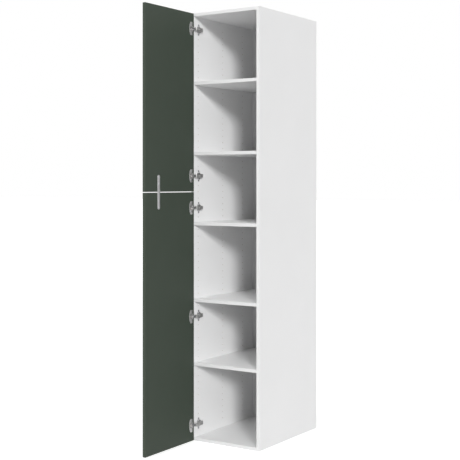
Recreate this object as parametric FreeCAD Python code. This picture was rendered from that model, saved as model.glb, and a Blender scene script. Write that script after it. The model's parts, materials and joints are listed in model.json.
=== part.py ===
import FreeCAD, Part
import math
import os
from FreeCAD import Vector

# Tall kitchen cabinet, millimetres. The origin is the middle of the carcass underside,
# +X to the right, +Y to the back, +Z up. The doors are hung on the left and stand open.

# Carcass boards
carcass_width = 400.0
carcass_depth = 576.0
carcass_height = 2144.0
board = 16.0
back_thickness = 3.0
back_setback = 20.0
groove_depth = 8.0
groove_play = 0.1
shelf_front_setback = 1.0
shelf_back_gap = 2.0
shelf_end_gap = 0.5

# Line-bored holes in both sides
hole_pitch = 32.0
hole_diameter = 5.0
hole_depth = 12.0
front_column = 37.0
middle_column_steps = 7
rear_column_steps = 13
end_rows_left_blank = 2
shelf_rows = (12, 22, 34, 45, 56)
runner_row = 6
pit_sides = 4

# Pegs, pins and screws
peg_sides = 6
bore_sides = 8
fit_play = 0.05
shelf_pin_reach = 8.0
shelf_pocket_width = 7.0
shelf_pocket_length = 10.0
dowel_diameter = 8.0
dowel_in_side = 10.0
dowel_in_board = 20.0
dowel_inset = 70.0

# Doors
door_thickness = 16.0
side_reveal = 2.0
end_reveal = 2.0
door_gap = 4.0
split_row = 39
front_gap = 2.5
open_angle = 90.0

# Coupling plate across the door gap
coupling_length = 165.0
coupling_width = 18.0
coupling_thickness = 2.0
coupling_from_free_edge = 103.0
coupling_screw_end_insets = (41.5, 9.5)

# Flat-head screws
screw_head_diameter = 8.0
screw_head_height = 1.8
coupling_screw_diameter = 4.0
coupling_screw_length = 12.0

# Hinge places, counted in rows from the ends and from the door gap
hinge_inset_rows = 2.5

# Hinge pivots: arm pivots from the side's inner face and carcass front,
# cup pivots from the door's hinge edge and inner face
outer_arm_height = 12.3
outer_arm_setback = 4.3
inner_arm_height = 6.1
inner_arm_setback = 1.3
outer_cup_inset = 8.0
outer_cup_depth = 4.3
inner_cup_inset = 8.1
inner_cup_depth = 8.6
outer_link_ratio = 0.213
pin_radius = 1.0

# Hinge links
inner_link_half = 3.4
link_layer_gap = 0.6
outer_cheek = 1.9
outer_link_half_width = 1.6
inner_link_half_width = 1.6
outer_bend_past = 1.0
outer_bend_right = 8.8
inner_bend_right = 12.2
link_web_start = 2.6
link_web_end = 7.0
link_web_thickness = 1.0
fork_pin_radius = 0.8
fork_play = 0.22
fork_slack_back = 0.75
fork_reach = 1.3

# Hinge cup
cup_diameter = 35.0
cup_edge_distance = 5.0
cup_depth = 12.5
cup_floor = 0.5
cup_bore_extra = 0.1
cup_sides = 24
trough_half = 7.0
trough_far_wall = 3.5
flange_thickness = 1.0
flange_height = 66.0
flange_near = 14.5
flange_far = 40.0
flange_end_far = 31.0
flange_shoulder_along = 37.0
flange_shoulder_half = 20.0
flange_waist_half = 8.0

# Hinge arm and mounting plate
arm_half = 9.0
arm_wall = 1.2
arm_top_height = 16.2
arm_nose = 0.9
arm_nose_top = 9.0
arm_tail = 66.0
arm_tail_taper = 9.0
arm_foot_height = 3.6
plate_thickness = 3.5
plate_front = 20.0
plate_tail = 72.0
plate_tip_half = 2.0
plate_half = 9.0
shoulder_front = 24.0
shoulder_half = 17.0
wing_half_height = 28.0
wing_half_width = 6.0
wing_tip_half_width = 4.0
wing_thickness = 3.5
spine_half = 7.1
spine_height = 10.0
spine_front = 24.0
spine_back = 58.0
spring_half = 3.0
spring_thickness = 0.6
spring_front = 3.4
spring_back = 22.0
spring_seat = 8.0

UP = Vector(0, 0, 1)
RIGHT = Vector(1, 0, 0)
BACK = Vector(0, 1, 0)

left_face = -carcass_width / 2
left_inner = left_face + board
right_inner = -left_inner
front_face = -carcass_depth / 2
rear_face = -front_face
back_front = rear_face - back_setback - back_thickness
row_count = int(carcass_height // hole_pitch)
split_height = split_row * hole_pitch
column_steps = (0, middle_column_steps, rear_column_steps)
columns = [front_face + front_column + steps * hole_pitch for steps in column_steps]
half_hole = hole_diameter / 2


def row_height(row):
    """Height of a line-bored row above the underside."""
    return row * hole_pitch


def box(low, high):
    """Upright block between two opposite corners."""
    size = high - low
    return Part.makeBox(size.x, size.y, size.z, low)


def ring(centre, axis, radius, sides):
    """Corner points of a regular polygon square to its axis."""
    first = RIGHT if axis == UP else UP
    second = axis.cross(first)
    turns = [2 * math.pi * (step + 0.5) / sides for step in range(sides)]
    return [centre + first * (radius * math.cos(turn)) + second * (radius * math.sin(turn)) for turn in turns]


def peg(start, axis, radius, length, sides=peg_sides):
    """Straight peg with few sides, its corners on the radius."""
    points = ring(start, axis, radius, sides)
    return Part.Face(Part.makePolygon(points + points[:1])).extrude(axis * length)


def pit(mouth, axis, radius, depth):
    """Bored hole that nothing sits in, drawn with few faces down to the drill's point."""
    points = ring(mouth, axis, radius, pit_sides)
    tip = mouth + axis * depth
    faces = [Part.Face(Part.makePolygon(points + points[:1]))]
    for first, second in zip(points, points[1:] + points[:1]):
        faces.append(Part.Face(Part.makePolygon([first, second, tip, first])))
    return Part.Solid(Part.Shell(faces))


def prism(points, low, high):
    """Upright prism over a plan outline."""
    raised = [Vector(point.x, point.y, low) for point in points]
    return Part.Face(Part.makePolygon(raised + raised[:1])).extrude(UP * (high - low))


def spun(point, degrees, centre):
    """Plan point turned about an upright axis."""
    return FreeCAD.Rotation(UP, degrees).multVec(point - centre) + centre


def save(name, solids):
    """Write one node, a single solid or a group of like solids."""
    shape = solids[0] if len(solids) == 1 else Part.makeCompound(solids)
    shape.exportStep("parts/" + name + ".step")


# Hinge geometry in plan, worked out from the closed door and carried to the open one
hinge_edge = left_face + side_reveal
door_inner = front_face - front_gap
outer_arm = Vector(left_inner + outer_arm_height, front_face + outer_arm_setback, 0)
inner_arm = Vector(left_inner + inner_arm_height, front_face + inner_arm_setback, 0)
outer_cup_shut = Vector(hinge_edge + outer_cup_inset, door_inner - outer_cup_depth, 0)
inner_cup_shut = Vector(hinge_edge + inner_cup_inset, door_inner - inner_cup_depth, 0)
outer_cup = spun(outer_cup_shut, outer_link_ratio * open_angle, outer_arm)


def opened(shape):
    """Carry a piece of the doors from closed to open."""
    turned = shape.copy()
    turned.rotate(outer_cup_shut, UP, -open_angle)
    turned.translate(outer_cup - outer_cup_shut)
    return turned


inner_cup = spun(inner_cup_shut, -open_angle, outer_cup_shut) + outer_cup - outer_cup_shut
hinge_heights = [
    row_height(hinge_inset_rows),
    row_height(split_row) / 2,
    row_height(split_row - hinge_inset_rows),
    row_height(split_row + hinge_inset_rows),
    row_height(row_count - hinge_inset_rows),
]
plate_screw_heights = [height + side * hole_pitch / 2 for height in hinge_heights for side in (-1, 1)]


# Carcass
def hole_tools(axis, screwed):
    """Tools for the bored holes of one side; axis points into the board."""
    face = left_inner if axis.x < 0 else right_inner
    tools = []
    for row in range(end_rows_left_blank, row_count - end_rows_left_blank + 1):
        height = row_height(row)
        for place, column in enumerate(columns):
            mouth = Vector(face, column, height)
            pinned = row in shelf_rows and place != 1
            holds_screw = screwed and place == 0 and height in plate_screw_heights
            if row == runner_row and place != 1:
                tools.append(Part.makeCylinder(half_hole, hole_depth, mouth, axis))
            elif pinned or holds_screw:
                tools.append(peg(mouth, axis, half_hole, hole_depth))
            elif screwed or place != 1:
                tools.append(pit(mouth, axis, half_hole, hole_depth))
    return tools


def dowel_places():
    """Start points at the sides' inner faces, with the way into each side."""
    places = []
    for height in (board / 2, carcass_height - board / 2):
        for depth in (front_face + dowel_inset, rear_face - dowel_inset):
            places.append((Vector(left_inner, depth, height), -RIGHT))
            places.append((Vector(right_inner, depth, height), RIGHT))
    return places


def dowels(play):
    """Wooden dowels across the corner joints, enlarged by the play for their holes."""
    length = dowel_in_side + dowel_in_board + 2 * play
    pieces = []
    for place, outward in dowel_places():
        start = place - outward * (dowel_in_board + play)
        pieces.append(peg(start, outward, dowel_diameter / 2 + play, length))
    return pieces


def back_panel(play):
    """Thin back that sits in grooves all round, thickened by the play for the grooves."""
    reach = groove_depth - groove_play + play
    low = Vector(left_inner - reach, back_front - play, board - reach)
    high = Vector(right_inner + reach, back_front + back_thickness + play, carcass_height - board + reach)
    return box(low, high)


def side_panel(axis, screwed):
    """One side with its bored holes, back groove and dowel holes."""
    inner = left_inner if axis.x < 0 else right_inner
    outer = inner + axis.x * board
    panel = box(
        Vector(min(inner, outer), front_face, 0),
        Vector(max(inner, outer), rear_face, carcass_height),
    )
    groove = box(
        Vector(left_inner - groove_depth, back_front - groove_play, 0),
        Vector(right_inner + groove_depth, back_front + back_thickness + groove_play, carcass_height),
    )
    return panel.cut(hole_tools(axis, screwed) + [groove] + dowels(fit_play))


def end_panel(low_height):
    """Top or bottom board between the sides."""
    panel = box(
        Vector(left_inner, front_face, low_height),
        Vector(right_inner, rear_face, low_height + board),
    )
    return panel.cut([back_panel(groove_play)] + dowels(fit_play))


def shelf_pin_places(row):
    """Mouths of the four holes that carry one shelf, with the way into each side."""
    places = []
    for column in (columns[0], columns[2]):
        places.append((Vector(left_inner, column, row_height(row)), -RIGHT))
        places.append((Vector(right_inner, column, row_height(row)), RIGHT))
    return places


def shelf(row):
    """Shelf whose mid-plane lies on a hole row, with pockets that hide its pins."""
    low = row_height(row) - board / 2
    panel = box(
        Vector(left_inner + shelf_end_gap, front_face + shelf_front_setback, low),
        Vector(right_inner - shelf_end_gap, back_front - shelf_back_gap, low + board),
    )
    pockets = []
    for mouth, outward in shelf_pin_places(row):
        inward = mouth - outward * shelf_pocket_length
        pockets.append(box(
            Vector(min(mouth.x, inward.x), mouth.y - shelf_pocket_width / 2, low),
            Vector(max(mouth.x, inward.x), mouth.y + shelf_pocket_width / 2, row_height(row) + half_hole),
        ))
    return panel.cut(pockets)


def shelf_pins():
    """Steel pins, four under each shelf."""
    pins = []
    for row in shelf_rows:
        for mouth, outward in shelf_pin_places(row):
            start = mouth - outward * shelf_pin_reach
            pins.append(peg(start, outward, half_hole - fit_play, shelf_pin_reach + hole_depth - fit_play))
    return pins


# Doors
door_bottoms = (end_reveal, split_height + door_gap / 2)
door_tops = (split_height - door_gap / 2, carcass_height - end_reveal)
cup_centre_inset = cup_edge_distance + cup_diameter / 2
coupling_line = -hinge_edge - coupling_from_free_edge


def cup_start(height):
    """Middle of a cup's mouth on the closed door's inner face."""
    return Vector(hinge_edge + cup_centre_inset, door_inner, height)


def screw(seat, axis, shank_radius, length):
    """Flat-head screw on a seat; axis points the way it is driven."""
    head = peg(seat - axis * screw_head_height, axis, screw_head_diameter / 2, screw_head_height)
    return head.fuse(peg(seat, axis, shank_radius, length))


def coupling_screw(seat):
    """Screw through the coupling plate into a closed door."""
    return screw(seat, -BACK, coupling_screw_diameter / 2, coupling_screw_length)


def coupling_screw_hole(seat):
    """Hole for the shank of a coupling screw."""
    return peg(seat, -BACK, coupling_screw_diameter / 2 + fit_play, coupling_screw_length + fit_play)


coupling_face = Vector(coupling_line, door_inner + coupling_thickness, split_height)
coupling_seats = [
    coupling_face + UP * (side * (coupling_length / 2 - inset))
    for side in (-1, 1) for inset in coupling_screw_end_insets
]


def door(bottom, top):
    """Slab door, closed, bored for its cups and for the coupling screws."""
    slab = box(
        Vector(hinge_edge, door_inner - door_thickness, bottom),
        Vector(-hinge_edge, door_inner, top),
    )
    bores = [
        Part.makeCylinder(cup_diameter / 2, cup_depth + cup_bore_extra, cup_start(height), -BACK)
        for height in hinge_heights if bottom < height < top
    ]
    return slab.cut(bores + [coupling_screw_hole(seat) for seat in coupling_seats])


def coupling_plate():
    """Flat steel strip with round ends that makes the two doors move as one."""
    half = coupling_width / 2
    straight = coupling_length / 2 - half
    low = coupling_face + Vector(-half, -coupling_thickness, -straight)
    strip = box(low, coupling_face + Vector(half, 0, straight))
    for side in (-1, 1):
        end = coupling_face + UP * (side * straight)
        strip = strip.fuse(Part.makeCylinder(half, coupling_thickness, end, -BACK))
    return strip.removeSplitter().cut([coupling_screw_hole(seat) for seat in coupling_seats])


# Concealed hinges, built at height zero
def hinge_cup():
    """Pressed cup with its flange and pins, closed, open to the links at the hinge side."""
    start = Vector(hinge_edge, door_inner, 0)
    half = flange_height / 2
    upper = [
        (flange_near, half), (flange_end_far, half),
        (flange_shoulder_along, flange_shoulder_half), (flange_far, flange_waist_half),
    ]
    outline = [(along, -height) for along, height in upper] + upper[::-1]
    points = [start + Vector(along, 0, height) for along, height in outline]
    flange = Part.Face(Part.makePolygon(points + points[:1])).extrude(BACK * flange_thickness)
    far_wall = cup_edge_distance + cup_diameter - trough_far_wall
    trough = box(
        start + Vector(0, -cup_depth + cup_floor, -trough_half),
        start + Vector(far_wall, flange_thickness, trough_half),
    )
    body = peg(cup_start(0), -BACK, cup_diameter / 2 - fit_play, cup_depth, cup_sides)
    stub = trough_half - inner_link_half - link_layer_gap / 2
    pins = [
        upright_pin(outer_cup_shut, pin_radius, low, low + stub)
        for low in (-trough_half, trough_half - stub)
    ]
    pins.append(peg(inner_cup_shut - UP * trough_half, UP, fork_pin_radius, 2 * trough_half, bore_sides))
    return body.fuse(flange).removeSplitter().cut(trough).fuse(pins)


def half_octagon(centre, outward, flat):
    """Corner points round one end of a bar, its sides the flat's distance from the centre."""
    corner = flat / math.cos(math.pi / bore_sides)
    turns = [180 / bore_sides * step for step in (3, 1, -1, -3)]
    return [centre + FreeCAD.Rotation(UP, turn).multVec(outward) * corner for turn in turns]


def bent_bar(start, bend, end, half_width):
    """Plan outline of a bar with blunted ends and one bend."""
    first = (start - bend).normalize()
    second = (end - bend).normalize()

    def mitre(one, other):
        return bend + (one + other) * (half_width / (1 + one.dot(other)))

    return (
        half_octagon(start, first, half_width)
        + [mitre(first.cross(UP), UP.cross(second))]
        + half_octagon(end, second, half_width)
        + [mitre(UP.cross(first), second.cross(UP))]
    )


outer_link_low = inner_link_half + link_layer_gap
outer_link_high = outer_link_low + outer_cheek
outer_bend = outer_cup + Vector(outer_bend_right, -outer_bend_past, 0)
inner_bend = inner_cup + Vector(inner_bend_right, 0, 0)


def upright_pin(place, radius, low, high):
    """Round pin on an upright axis."""
    return Part.makeCylinder(radius, high - low, place + UP * low)


def upright_bore(place, radius, half):
    """Few-sided bore that clears a round pin of this radius by the fit."""
    corner = (radius + fit_play) / math.cos(math.pi / bore_sides)
    return peg(place - UP * half, UP, corner, 2 * half, bore_sides)


def outer_link():
    """Forked link: two hooked cheeks joined by a short web near the arm."""
    bar = bent_bar(outer_arm, outer_bend, outer_cup, outer_link_half_width)
    along = (outer_bend - outer_arm).normalize()
    out = UP.cross(along)
    edge = outer_link_half_width
    web_points = [
        outer_arm + along * reach + out * offset
        for reach, offset in (
            (link_web_start, edge), (link_web_end, edge),
            (link_web_end, edge - link_web_thickness), (link_web_start, edge - link_web_thickness),
        )
    ]
    link = prism(web_points, -outer_link_low, outer_link_low)
    for low in (-outer_link_high, outer_link_low):
        link = link.fuse(prism(bar, low, low + outer_cheek))
    return link.cut([upright_bore(place, pin_radius, outer_link_high) for place in (outer_arm, outer_cup)])


def open_ended(start, along, length, half_width):
    """Plan outline with a blunted start and a square far end."""
    end = start + along * length
    side = UP.cross(along) * half_width
    return half_octagon(start, -along, half_width) + [end + side, end - side]


def inner_link():
    """Hooked link between the cheeks; its forked end straddles the cup's deeper pin."""
    bar = bent_bar(inner_arm, inner_bend, inner_cup, inner_link_half_width)
    away = (inner_cup - inner_arm).normalize()
    root = inner_cup - away * fork_slack_back
    fork = open_ended(root, away, fork_slack_back + fork_reach, inner_link_half_width)
    slot = open_ended(root, away, fork_slack_back + 2 * fork_reach, fork_pin_radius + fork_play)
    low, high = -inner_link_half, inner_link_half
    link = prism(bar, low, high).fuse(prism(fork, low, high))
    return link.cut([prism(slot, low, high), upright_bore(inner_arm, pin_radius, inner_link_half)])


def hinge_arm():
    """Pressed channel with its two riveted pins, open towards the side and at the nose."""
    foot = left_inner + arm_foot_height
    top = left_inner + arm_top_height
    nose = front_face - arm_nose
    tail = front_face + arm_tail
    web_front = front_face + outer_arm_setback - pin_radius
    channel = prism([
        Vector(foot, nose, 0), Vector(left_inner + arm_nose_top, nose, 0), Vector(top, web_front, 0),
        Vector(top, tail - arm_tail_taper, 0), Vector(top - arm_tail_taper, tail, 0), Vector(foot, tail, 0),
    ], -arm_half, arm_half)
    inside = arm_half - arm_wall
    hollow = prism([
        Vector(foot, nose, 0), Vector(top - arm_wall, nose, 0),
        Vector(top - arm_wall, tail - arm_tail_taper, 0), Vector(top - arm_tail_taper, tail - arm_wall, 0),
        Vector(foot, tail - arm_wall, 0),
    ], -inside, inside)
    pins = [upright_pin(place, pin_radius, -inside, inside) for place in (outer_arm, inner_arm)]
    return channel.cut(hollow).fuse(pins)


def mounting_plate():
    """Arrow-shaped plate with a raised spine, two screw wings and a pointed tail."""
    base = left_inner
    middle = front_face + front_column

    def slab(points, thickness):
        raised = [Vector(base, front_face + along, height) for along, height in points]
        return Part.Face(Part.makePolygon(raised + raised[:1])).extrude(RIGHT * thickness)

    body = slab([
        (plate_front, -plate_half), (spine_back, -plate_half), (plate_tail, -plate_tip_half),
        (plate_tail, plate_tip_half), (spine_back, plate_half), (plate_front, plate_half),
    ], plate_thickness)
    near_root, far_root = front_column - wing_half_width, front_column + wing_half_width
    near_tip, far_tip = front_column - wing_tip_half_width, front_column + wing_tip_half_width
    wings = slab([
        (shoulder_front, -plate_half), (near_root, -shoulder_half), (near_tip, -wing_half_height),
        (far_tip, -wing_half_height), (far_root, -shoulder_half), (plate_tail, -plate_tip_half),
        (plate_tail, plate_tip_half), (far_root, shoulder_half), (far_tip, wing_half_height),
        (near_tip, wing_half_height), (near_root, shoulder_half), (shoulder_front, plate_half),
    ], wing_thickness)
    spine = box(
        Vector(base, front_face + spine_front, -spine_half),
        Vector(base + spine_height, front_face + spine_back, spine_half),
    )
    holes = [
        peg(Vector(base + wing_thickness, middle, side * hole_pitch / 2), -RIGHT,
            half_hole, wing_thickness)
        for side in (-1, 1)
    ]
    return body.fuse([wings, spine]).removeSplitter().cut(holes)


def closing_spring():
    """Leaf spring under the arm's back that presses on the inner link's eye."""
    top = left_inner + arm_top_height - arm_wall
    low = inner_arm.x
    front = front_face + spring_front
    back = front_face + spring_back
    outline = [
        Vector(low, front, 0), Vector(low + spring_thickness, front, 0),
        Vector(top, back - spring_thickness, 0), Vector(top, back + spring_seat, 0),
        Vector(top - spring_thickness, back + spring_seat, 0), Vector(top - spring_thickness, back, 0),
    ]
    return prism(outline, -spring_half, spring_half)


def at_hinges(piece):
    """Copies of a hinge piece at every hinge height."""
    copies = []
    for height in hinge_heights:
        copy = piece.copy()
        copy.translate(UP * height)
        copies.append(copy)
    return copies


def plate_screws():
    """Screws that hold the mounting plates in the front column of holes."""
    seat_x = left_inner + wing_thickness
    depth = hole_depth + wing_thickness - fit_play
    shank = half_hole - fit_play
    return [screw(Vector(seat_x, columns[0], height), -RIGHT, shank, depth) for height in plate_screw_heights]


os.makedirs("parts", exist_ok=True)
save("left_side_panel", [side_panel(-RIGHT, True)])
save("right_side_panel", [side_panel(RIGHT, False)])
save("bottom_panel", [end_panel(0)])
save("top_panel", [end_panel(carcass_height - board)])
save("back_panel", [back_panel(0)])
save("corner_dowels", dowels(0))
for number, row in enumerate(shelf_rows, 1):
    save("shelf_" + str(number), [shelf(row)])
save("shelf_pins", shelf_pins())
for name, bottom, top in zip(("lower_door", "upper_door"), door_bottoms, door_tops):
    save(name, [opened(door(bottom, top))])
save("coupling_plate", [opened(coupling_plate())])
save("coupling_screws", [opened(coupling_screw(seat)) for seat in coupling_seats])
for piece_name, piece in (
    ("cup", opened(hinge_cup())),
    ("arm", hinge_arm()),
    ("plate", mounting_plate()),
    ("outer_link", outer_link()),
    ("inner_link", inner_link()),
):
    for number, copy in enumerate(at_hinges(piece), 1):
        save("hinge_" + str(number) + "_" + piece_name, [copy])
save("closing_springs", at_hinges(closing_spring()))
save("plate_screws", plate_screws())
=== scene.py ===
import json
import logging
import math
from abc import ABC, abstractmethod
from collections.abc import Callable, Iterable, Sequence
from dataclasses import dataclass, field
from enum import Enum

import bmesh
import bpy
from mathutils import Matrix, Vector


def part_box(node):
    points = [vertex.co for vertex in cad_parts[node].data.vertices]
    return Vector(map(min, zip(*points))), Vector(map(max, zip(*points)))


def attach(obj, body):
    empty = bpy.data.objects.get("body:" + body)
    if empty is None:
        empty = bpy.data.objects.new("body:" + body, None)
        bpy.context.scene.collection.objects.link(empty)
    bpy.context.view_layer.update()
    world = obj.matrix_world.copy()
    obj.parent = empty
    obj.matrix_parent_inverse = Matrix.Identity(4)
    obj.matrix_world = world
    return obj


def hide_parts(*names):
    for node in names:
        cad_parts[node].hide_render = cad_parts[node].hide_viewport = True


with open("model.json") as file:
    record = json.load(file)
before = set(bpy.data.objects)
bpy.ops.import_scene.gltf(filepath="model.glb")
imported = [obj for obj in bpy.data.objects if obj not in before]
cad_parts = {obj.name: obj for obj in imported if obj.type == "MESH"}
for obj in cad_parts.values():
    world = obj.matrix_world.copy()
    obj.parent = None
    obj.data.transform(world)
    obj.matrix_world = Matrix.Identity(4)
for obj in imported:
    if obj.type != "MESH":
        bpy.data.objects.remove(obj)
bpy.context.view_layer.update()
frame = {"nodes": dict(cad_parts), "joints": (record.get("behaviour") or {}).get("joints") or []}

# Tall kitchen cabinet in metres: white carcass, two coupled doors, five concealed hinges.
log = logging.getLogger("tall_cabinet")
Colour = tuple[float, float, float]
Triple = tuple[float, float, float]
Corner = tuple[float, float, float]
Point = tuple[float, float]
Pair = tuple[float, float]
MM = 0.001
UP = Vector((0.0, 0.0, 1.0))
RIGHT = Vector((1.0, 0.0, 0.0))
BACK = Vector((0.0, 1.0, 0.0))
BOTH_SIGNS = (-1.0, 1.0)
HINGE_COUNT = 5

# Round ends fall this little short of a half width, so that their two arcs stay apart.
ALMOST = 0.999
# Share of a noise's range in which nearly all its values lie.
NOISE_LOW = 0.3
NOISE_HIGH = 0.7
# Edges that turn by more than the first are rounded, and by more than the second shaded as sharp.
EASED_TURN = math.radians(40.0)
SHARP_TURN = math.radians(38.0)
# Bevel profile that is an arc.
ROUND_PROFILE = 0.5
# A face counts as looking along a direction from this cosine of the angle between them.
FACING = 0.9


class Body(Enum):
    """Groups of pieces that move together."""

    CARCASS = "carcass"
    DOORS = "doors"
    OUTER_LINKS = "outer_links"
    INNER_LINKS = "inner_links"


class Slot(Enum):
    """Material slots of the record."""

    WHITE_BOARD = "white_board"
    GREEN_FRONT = "green_front"
    NICKEL_STEEL = "nickel_steel"
    ZINC_STRIP = "zinc_strip"


class Join(Enum):
    """Ways to combine a piece with a tool."""

    CUT = "DIFFERENCE"
    ADD = "UNION"


class Grain(Enum):
    """Finer layers within a noise."""

    PLAIN = 2.0
    CLOUDY = 3.0
    BROKEN = 4.0
    FIBROUS = 5.0


class NodeBench:
    """Lays out and joins the nodes of one material."""

    def __init__(self, name: str) -> None:
        """Start a material with its shader.

        Args:
            name: Name of the material.
        """
        self.material = bpy.data.materials.new(name)
        self.material.use_nodes = True
        self.tree = self.material.node_tree
        self.tree.nodes.clear()
        self.output = self.add("ShaderNodeOutputMaterial")
        self.shader = self.add("ShaderNodeBsdfPrincipled")
        self.join(self.shader.outputs["BSDF"], self.output.inputs["Surface"])
        self.coordinates = self.add("ShaderNodeTexCoord").outputs["Object"]

    def add(self, kind: str) -> bpy.types.Node:
        """Add a node of one kind and return it."""
        return self.tree.nodes.new(kind)

    def join(self, source: bpy.types.NodeSocket, target: bpy.types.NodeSocket) -> None:
        """Link an output to an input."""
        self.tree.links.new(source, target)

    def stretched(self, stretch: Triple) -> bpy.types.NodeSocket:
        """Object coordinates scaled along each axis.

        Args:
            stretch: Factors along x, y and z.

        Returns:
            The mapped coordinates.
        """
        mapping = self.add("ShaderNodeMapping")
        mapping.inputs["Scale"].default_value = stretch
        self.join(self.coordinates, mapping.inputs["Vector"])
        return mapping.outputs["Vector"]

    def noise(self, where: bpy.types.NodeSocket, scale: float,
              grain: Grain = Grain.CLOUDY) -> bpy.types.NodeSocket:
        """Cloudy variation.

        Args:
            where: Coordinates to read.
            scale: Clouds per metre.
            grain: Finer layers in each cloud.

        Returns:
            The variation, from 0 to 1.
        """
        node = self.add("ShaderNodeTexNoise")
        node.inputs["Scale"].default_value = scale
        node.inputs["Detail"].default_value = grain.value
        self.join(where, node.inputs["Vector"])
        return node.outputs["Fac"]

    def blend(self, amount: bpy.types.NodeSocket, dark: Colour, light: Colour,
              low: float = 0.35, high: float = 0.65) -> bpy.types.NodeSocket:
        """Colour between two tones.

        Args:
            amount: Variation that picks the tone.
            dark: Tone at the low end.
            light: Tone at the high end.
            low: Variation at which the dark tone ends.
            high: Variation at which the light tone starts.

        Returns:
            The blended colour.
        """
        ramp = self.add("ShaderNodeValToRGB")
        first, second = ramp.color_ramp.elements
        first.position, first.color = low, (*dark, 1.0)
        second.position, second.color = high, (*light, 1.0)
        self.join(amount, ramp.inputs["Fac"])
        return ramp.outputs["Color"]

    def spread(self, amount: bpy.types.NodeSocket, low: float, high: float) -> bpy.types.NodeSocket:
        """Variation mapped to a range.

        Args:
            amount: Variation around one half.
            low: Value at the low end.
            high: Value at the high end.

        Returns:
            The mapped value.
        """
        node = self.add("ShaderNodeMapRange")
        ends = (("From Min", NOISE_LOW), ("From Max", NOISE_HIGH), ("To Min", low), ("To Max", high))
        for socket, value in ends:
            node.inputs[socket].default_value = value
        self.join(amount, node.inputs["Value"])
        return node.outputs["Result"]

    def spread_about(self, amount: bpy.types.NodeSocket, middle: float,
                     reach: float) -> bpy.types.NodeSocket:
        """Variation mapped to both sides of a value."""
        return self.spread(amount, middle - reach, middle + reach)

    def relief(self, height: bpy.types.NodeSocket, depth: float, strength: float) -> None:
        """Give the shader a fine surface relief.

        Args:
            height: Variation that raises the surface.
            depth: Depth of the relief in metres.
            strength: Share of the relief that shows.
        """
        node = self.add("ShaderNodeBump")
        node.inputs["Distance"].default_value = depth
        node.inputs["Strength"].default_value = strength
        self.join(height, node.inputs["Height"])
        self.join(node.outputs["Normal"], self.shader.inputs["Normal"])

    def colour(self, source: bpy.types.NodeSocket) -> None:
        """Link the shader's colour."""
        self.join(source, self.shader.inputs["Base Color"])

    def roughness(self, source: bpy.types.NodeSocket) -> None:
        """Link the shader's roughness."""
        self.join(source, self.shader.inputs["Roughness"])

    def constant(self, socket: str, value: float) -> None:
        """Set a value that is the same all over the surface."""
        self.shader.inputs[socket].default_value = value


@dataclass(frozen=True)
class Finish(ABC):
    """A surface finish that makes its own material."""

    name: str

    @abstractmethod
    def paint(self, bench: NodeBench) -> None:
        """Lay the nodes of this finish on a bench."""

    def material(self) -> bpy.types.Material:
        """The finish's material, made at first use.

        Returns:
            The one material that every piece with this finish shares.
        """
        found = bpy.data.materials.get(self.name)
        if found is not None:
            return found
        bench = NodeBench(self.name)
        self.paint(bench)
        return bench.material


@dataclass(frozen=True)
class CoatedBoard(Finish):
    """Resin-faced board or its edge tape: pale, faintly pearled, silky."""

    light: Colour
    shade: Colour
    rough: float = 0.5
    rough_spread: float = 0.07
    cloud_scale: float = 4.0
    pearl_scale: float = 1400.0
    pearl_depth: float = 0.04 * MM
    pearl_share: float = 0.35
    gloss: float = 0.35

    def paint(self, bench: NodeBench) -> None:
        """Two close tones in broad clouds, with a pearl grain in gloss and relief.

        Args:
            bench: Bench of the finish's material.
        """
        clouds = bench.noise(bench.coordinates, self.cloud_scale)
        pearl = bench.noise(bench.coordinates, self.pearl_scale, Grain.PLAIN)
        bench.colour(bench.blend(clouds, self.shade, self.light))
        bench.roughness(bench.spread_about(pearl, self.rough, self.rough_spread))
        bench.relief(pearl, self.pearl_depth, self.pearl_share)
        bench.constant("Specular IOR Level", self.gloss)


@dataclass(frozen=True)
class MattLacquer(Finish):
    """Sprayed matt lacquer of the doors, with a faint orange peel."""

    light: Colour
    shade: Colour
    rough: float = 0.58
    rough_spread: float = 0.03
    cloud_scale: float = 2.4
    handling_scale: float = 5.0
    peel_scale: float = 420.0
    peel_depth: float = 0.05 * MM
    peel_share: float = 0.4
    gloss: float = 0.25

    def paint(self, bench: NodeBench) -> None:
        """Broad tone changes, gloss clouds from handling and orange peel.

        Args:
            bench: Bench of the finish's material.
        """
        clouds = bench.noise(bench.coordinates, self.cloud_scale, Grain.BROKEN)
        peel = bench.noise(bench.coordinates, self.peel_scale, Grain.PLAIN)
        handling = bench.noise(bench.coordinates, self.handling_scale, Grain.BROKEN)
        bench.colour(bench.blend(clouds, self.shade, self.light))
        bench.roughness(bench.spread_about(handling, self.rough, self.rough_spread))
        bench.relief(peel, self.peel_depth, self.peel_share)
        bench.constant("Specular IOR Level", self.gloss)


@dataclass(frozen=True)
class PlatedSteel(Finish):
    """Plated steel with fine lines along its length and small gloss clouds."""

    light: Colour
    shade: Colour
    rough: float
    rough_spread: float = 0.08
    cloud_scale: float = 160.0
    line_stretch: Triple = (900.0, 900.0, 60.0)
    line_depth: float = 0.03 * MM
    line_share: float = 0.4

    def paint(self, bench: NodeBench) -> None:
        """Clouds in the colour, drawn lines in gloss and relief.

        Args:
            bench: Bench of the finish's material.
        """
        clouds = bench.noise(bench.coordinates, self.cloud_scale, Grain.BROKEN)
        lines = bench.noise(bench.stretched(self.line_stretch), 1.0, Grain.PLAIN)
        bench.colour(bench.blend(clouds, self.shade, self.light))
        bench.roughness(bench.spread_about(lines, self.rough, self.rough_spread))
        bench.relief(lines, self.line_depth, self.line_share)
        bench.constant("Metallic", 1.0)


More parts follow.
